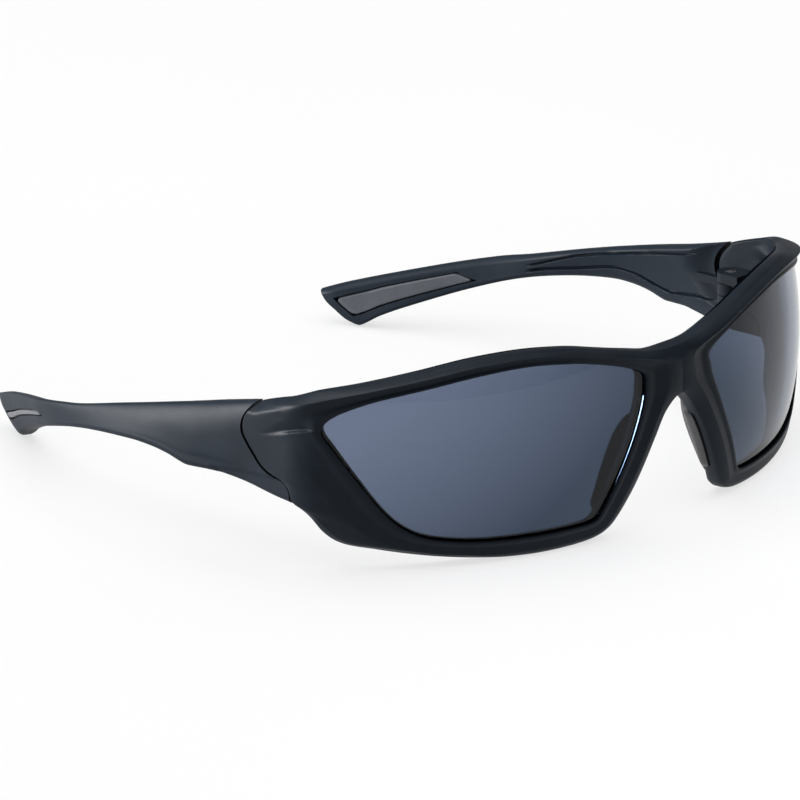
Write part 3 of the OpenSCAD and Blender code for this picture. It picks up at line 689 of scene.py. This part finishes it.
def build_temple(word):
    v = spread([(0, 0.07, 10), (0.07, 0.072, 2), (0.072, 0.7, 84), (0.7, 0.735, 19),
                (0.735, 0.96, 36), (0.96, 1, 25)])
    section = np.array([temple_section(at) for at in v])
    n_rows, n_cols = section.shape[:2]
    faces = tube_faces(n_rows, n_cols)
    fold = 2 * N_FACE + 9                   # outer point k faces inner point fold - k
    half = range((fold + 1 - n_cols) // 2, (fold - 1) // 2)
    # the end caps take the near-black painted shade of the joint gap
    ends = range(len(faces), len(faces) + len(half))
    for row, flip in ((0, False), (n_rows - 1, True)):
        for k in half:
            quad = [row * n_cols + j % n_cols for j in (k, k + 1, fold - k - 1, fold - k)]
            quad = list(dict.fromkeys(quad))
            faces.append(quad[::-1] if flip else quad)
    return handed_mesh(word, "temple_arm", section.reshape(-1, 3), faces, ends)


def build_grip(word, face, band, name):
    """Rubber grip on the outer (face 1) or inner (face -1) side of a temple."""
    v0, v1 = band[2] + GRIP_GAP_V, band[3] - GRIP_GAP_V
    v = spread([(v0, v0 + GRIP_END, 7), (v0 + GRIP_END, v1 - GRIP_END, 46), (v1 - GRIP_END, v1, 7)])
    u = np.linspace(0, 1, GRIP_COLS)
    sections = []
    for at in v:
        from_end = min(at - v[0], v[-1] - at) / GRIP_END
        dome = math.sqrt(max(0.0, 1 - (1 - min(1.0, from_end)) ** 2))
        q0 = band[0] + GRIP_GAP_Q
        q1 = (float(inner_top(at)) if face < 0 else band[1]) - GRIP_GAP_Q
        inset = (1 - dome) * 0.25 * (q1 - q0)
        q = q0 + inset + (q1 - q0 - 2 * inset) * u
        from_side = np.minimum(u, 1 - u) * (q1 - q0) * temple_height(at)
        lift = np.sqrt(np.maximum(0, 1 - (1 - np.minimum(1, from_side / GRIP_ROUND)) ** 2))
        h = float(half_thick(at))
        low = h - GRIP_DEPTH + GRIP_FLOOR
        top = low + (h + GRIP_PROUD - low) * (0.45 + 0.55 * lift * (0.35 + 0.65 * dome))
        a = np.concatenate([top, [low, low]])
        sections.append(temple(at, np.concatenate([q, [q[-1], q[0]]]), face * a))
    vertices, faces = closed_tube(np.array(sections))
    if face < 0:
        faces = [f[::-1] for f in faces]
    return handed_mesh(word, name, vertices, faces)


# ---- materials ---------------------------------------------------------------------------
def srgb(r, g, b):
    """Linear colour from 0 to 255 values."""
    return tuple(((c / 255 + 0.055) / 1.055) ** 2.4 if c > 10 else c / 255 / 12.92
                 for c in (r, g, b)) + (1.0,)


class Shader:
    """A material with a Principled shader and short names for its nodes."""

    def __init__(self, name):
        self.material = bpy.data.materials.new(name)
        self.material.use_nodes = True
        self.tree = self.material.node_tree
        self.shader = self.tree.nodes["Principled BSDF"]
        self.place = self.node("ShaderNodeTexCoord").outputs["Object"]

    def node(self, kind, **values):
        n = self.tree.nodes.new(kind)
        for key, value in values.items():
            if hasattr(n, key):
                setattr(n, key, value)
            else:
                n.inputs[key.replace("_", " ")].default_value = value
        return n

    def link(self, a, b):
        self.tree.links.new(a, b)

    def set(self, **values):
        for key, value in values.items():
            self.shader.inputs[key.replace("_", " ")].default_value = value

    def noise(self, scale, detail=3.0, roughness=0.55):
        n = self.node("ShaderNodeTexNoise", Scale=scale, Detail=detail, Roughness=roughness)
        self.link(self.place, n.inputs["Vector"])
        return n.outputs["Fac"]

    def ramp(self, fac, low, high, at=(0.3, 0.7)):
        n = self.node("ShaderNodeValToRGB")
        n.color_ramp.elements[0].position, n.color_ramp.elements[1].position = at
        n.color_ramp.elements[0].color, n.color_ramp.elements[1].color = low, high
        self.link(fac, n.inputs["Fac"])
        return n.outputs["Color"]

    def span(self, value, low, high, to_low, to_high):
        n = self.node("ShaderNodeMapRange")
        self.link(value, n.inputs["Value"])
        for key, v in (("From Min", low), ("From Max", high),
                       ("To Min", to_low), ("To Max", to_high)):
            n.inputs[key].default_value = v
        return n.outputs["Result"]

    def bump(self, height, strength, distance):
        n = self.node("ShaderNodeBump", Strength=strength, Distance=distance)
        self.link(height, n.inputs["Height"])
        self.link(n.outputs["Normal"], self.shader.inputs["Normal"])


def satin_nylon(name, dark, light, rough):
    """Moulded nylon: faint flow marks, slightly uneven gloss and fine mould grain."""
    m = Shader(name)
    m.link(m.ramp(m.noise(160, 4), dark, light), m.shader.inputs["Base Color"])
    m.link(m.span(m.noise(420, 3), 0.3, 0.7, rough - 0.015, rough + 0.015),
           m.shader.inputs["Roughness"])
    m.set(IOR=1.5, Specular_IOR_Level=0.12)
    m.bump(m.noise(5200, 2), 0.25, 0.00006)
    return m.material


def rubber(name, dark, light, shine=0.5):
    """Soft rubber with a faint sheen and a fine grain."""
    m = Shader(name)
    m.link(m.ramp(m.noise(240, 3), dark, light), m.shader.inputs["Base Color"])
    m.link(m.span(m.noise(900, 2), 0.3, 0.7, 0.52, 0.66), m.shader.inputs["Roughness"])
    m.set(IOR=1.5, Specular_IOR_Level=shine, Sheen_Weight=0.12, Sheen_Roughness=0.5)
    m.bump(m.noise(7000, 2), 0.3, 0.00008)
    return m.material


TINT_SLANT = 1.1         # how much height counts beside distance from the middle
TINT_RANGE = (0.043, 0.099)


def smoke_lens(name, nose, side):
    """Tinted polycarbonate with a hard coat; the tint gets lighter from the nose to the side."""
    m = Shader(name)
    parts = m.node("ShaderNodeSeparateXYZ")
    m.link(m.place, parts.inputs[0])
    across = m.node("ShaderNodeMath", operation="ABSOLUTE")
    m.link(parts.outputs["X"], across.inputs[0])
    slanted = m.node("ShaderNodeMath", operation="MULTIPLY_ADD")
    slanted.inputs[1].default_value = TINT_SLANT
    m.link(parts.outputs["Z"], slanted.inputs[0])
    m.link(across.outputs[0], slanted.inputs[2])
    m.link(m.ramp(m.span(slanted.outputs[0], *TINT_RANGE, 0, 1), nose, side, (0, 1)),
           m.shader.inputs["Base Color"])
    m.link(m.span(m.noise(60, 2), 0.3, 0.7, 0.0, 0.008), m.shader.inputs["Roughness"])
    m.set(IOR=1.28, Transmission_Weight=1.0)
    return m.material


def steel(name):
    """Turned steel of the hinge screws."""
    m = Shader(name)
    m.link(m.ramp(m.noise(900, 3), srgb(120, 122, 126), srgb(170, 172, 176)),
           m.shader.inputs["Base Color"])
    m.link(m.span(m.noise(2500, 2), 0.3, 0.7, 0.25, 0.4), m.shader.inputs["Roughness"])
    m.set(Metallic=1.0)
    m.bump(m.noise(4000, 2), 0.2, 0.00004)
    return m.material


NYLON = satin_nylon("frame_nylon", srgb(11, 19, 27), srgb(16, 24, 33), 0.46)
TEMPLE_NYLON = satin_nylon("temple_nylon", srgb(15, 23, 32), srgb(20, 28, 37), 0.5)
HINGE_NYLON = satin_nylon("hinge_nylon", srgb(13, 20, 27), srgb(17, 24, 32), 0.45)
# Near-black painted shade for the joint faces, the wall round each lens and the pads' front faces,
# which stand in gaps
PAINTED_SHADE = satin_nylon("painted_shade_faces", srgb(2, 3, 4), srgb(4, 5, 6), 0.8)
GRIP_RUBBER = rubber("grip_rubber", srgb(37, 42, 50), srgb(45, 50, 58))
STRIP_RUBBER = rubber("strip_rubber", srgb(60, 62, 68), srgb(70, 72, 78))
PAD_RUBBER = rubber("pad_rubber", srgb(20, 20, 24), srgb(26, 26, 31), 0.25)
SMOKE = smoke_lens("smoke_polycarbonate", srgb(52, 65, 83), srgb(103, 114, 137))
SCREW_STEEL = steel("screw_steel")


def place(obj, body, material, slot, *nodes):
    """Give a piece its material, its body and the nodes it stands for."""
    obj.data.materials.append(material)
    # faces listed as ends take the near-black painted shade as a second material
    if any(face.material_index for face in obj.data.polygons):
        obj.data.materials.append(PAINTED_SHADE)
    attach(obj, body)
    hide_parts(*nodes)


# ---- assembly ----------------------------------------------------------------------------
place(build_frame(), "front", NYLON, "frame", "front_frame")
for word in SIDES:
    arm = word + "_arm"
    place(build_lens(word), "front", SMOKE, "lens", word + "_lens")
    place(build_pad(word), "front", PAD_RUBBER, "nose_pad", word + "_nose_pad")
    place(build_temple(word), arm, TEMPLE_NYLON, "temple", word + "_temple")
    place(build_grip(word, -1, INNER_GRIP, "inner_grip_pad"), arm, GRIP_RUBBER,
          "inner_grip", word + "_inner_grip")
    place(build_grip(word, 1, OUTER_GRIP, "outer_grip_strip"), arm, STRIP_RUBBER,
          "outer_grip", word + "_outer_grip")
    for node, material in ((word + "_front_hinge_leaf", HINGE_NYLON),
                           (word + "_temple_hinge_leaf", HINGE_NYLON),
                           (word + "_hinge_screw", SCREW_STEEL)):
        leaf = frame["nodes"][node]
        leaf.data.materials.clear()
        leaf.data.materials.append(material)

# ---- floor, light and camera -------------------------------------------------------------
scene = bpy.context.scene
scene.view_settings.view_transform = "Standard"
scene.view_settings.look = "None"


FLOOR_HALF = 3000        # half width of the floor
AIM = (0, 0, 0.02)       # the lights on the glasses point here


def build_floor():
    m = Shader("pale_floor")
    m.link(m.ramp(m.noise(3, 2), srgb(247, 247, 247), srgb(250, 250, 250)),
           m.shader.inputs["Base Color"])
    m.set(Roughness=0.9, Specular_IOR_Level=0.1)
    corners = [[x * FLOOR_HALF, y * FLOOR_HALF, 0] for x, y in ((-1, -1), (1, -1), (1, 1), (-1, 1))]
    floor = new_mesh("floor", corners, [[0, 1, 2, 3]])
    floor.data.materials.append(m.material)
    floor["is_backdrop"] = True


def area_light(name, place_at, aim, size, power, receivers):
    """Soft light that lights only the objects of one collection."""
    data = bpy.data.lights.new(name, "AREA")
    data.shape = "RECTANGLE"
    data.size, data.size_y = size
    data.energy = power
    light = bpy.data.objects.new(name, data)
    scene.collection.objects.link(light)
    light.location = place_at
    light.rotation_euler = (Vector(aim) - Vector(place_at)).to_track_quat("-Z", "Y").to_euler()
    light.light_linking.receiver_collection = receivers
    return light


build_floor()
world = bpy.data.worlds.new("studio")
scene.world = world
world.use_nodes = True
background = world.node_tree.nodes["Background"]
background.inputs["Color"].default_value = (1, 1, 1, 1)
background.inputs["Strength"].default_value = 0.2


def collection(name, objects):
    c = bpy.data.collections.new(name)
    for o in objects:
        c.objects.link(o)
    return c


on_floor = collection("lit_floor", [o for o in scene.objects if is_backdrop(o)])
on_glasses = collection("lit_glasses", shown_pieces())
area_light("key_left", (-0.85, 0.95, 0.3), AIM, (0.7, 0.4), 34, on_glasses)
area_light("top_soft", (-0.2, 0.3, 1.2), AIM, (1, 1), 20, on_glasses)
area_light("fill_right", (0.9, -1.2, 0.5), AIM, (0.9, 0.6), 4, on_glasses)
area_light("floor_top", (0, 0, 2.2), (0, 0, 0), (3, 3), 12, on_floor)
area_light("floor_even", (0, 0, 2.2), (0, 0, 0), (3, 3), 65, on_floor).data.use_shadow = False

CAMERA = Vector((-1.0303, -1.0193, 0.4922))
TARGET = Vector((-0.02071, -0.01611, 0.01861))
ROLL = math.radians(-1.28)
data = bpy.data.cameras.new("camera")
data.lens = 319.5
data.sensor_width = 36
data.clip_start = 0.05
camera = bpy.data.objects.new("camera", data)
scene.collection.objects.link(camera)
turn = (TARGET - CAMERA).to_track_quat("-Z", "Y").to_matrix().to_4x4()
camera.matrix_world = Matrix.Translation(CAMERA) @ turn @ Matrix.Rotation(ROLL, 4, "Z")
scene.camera = camera
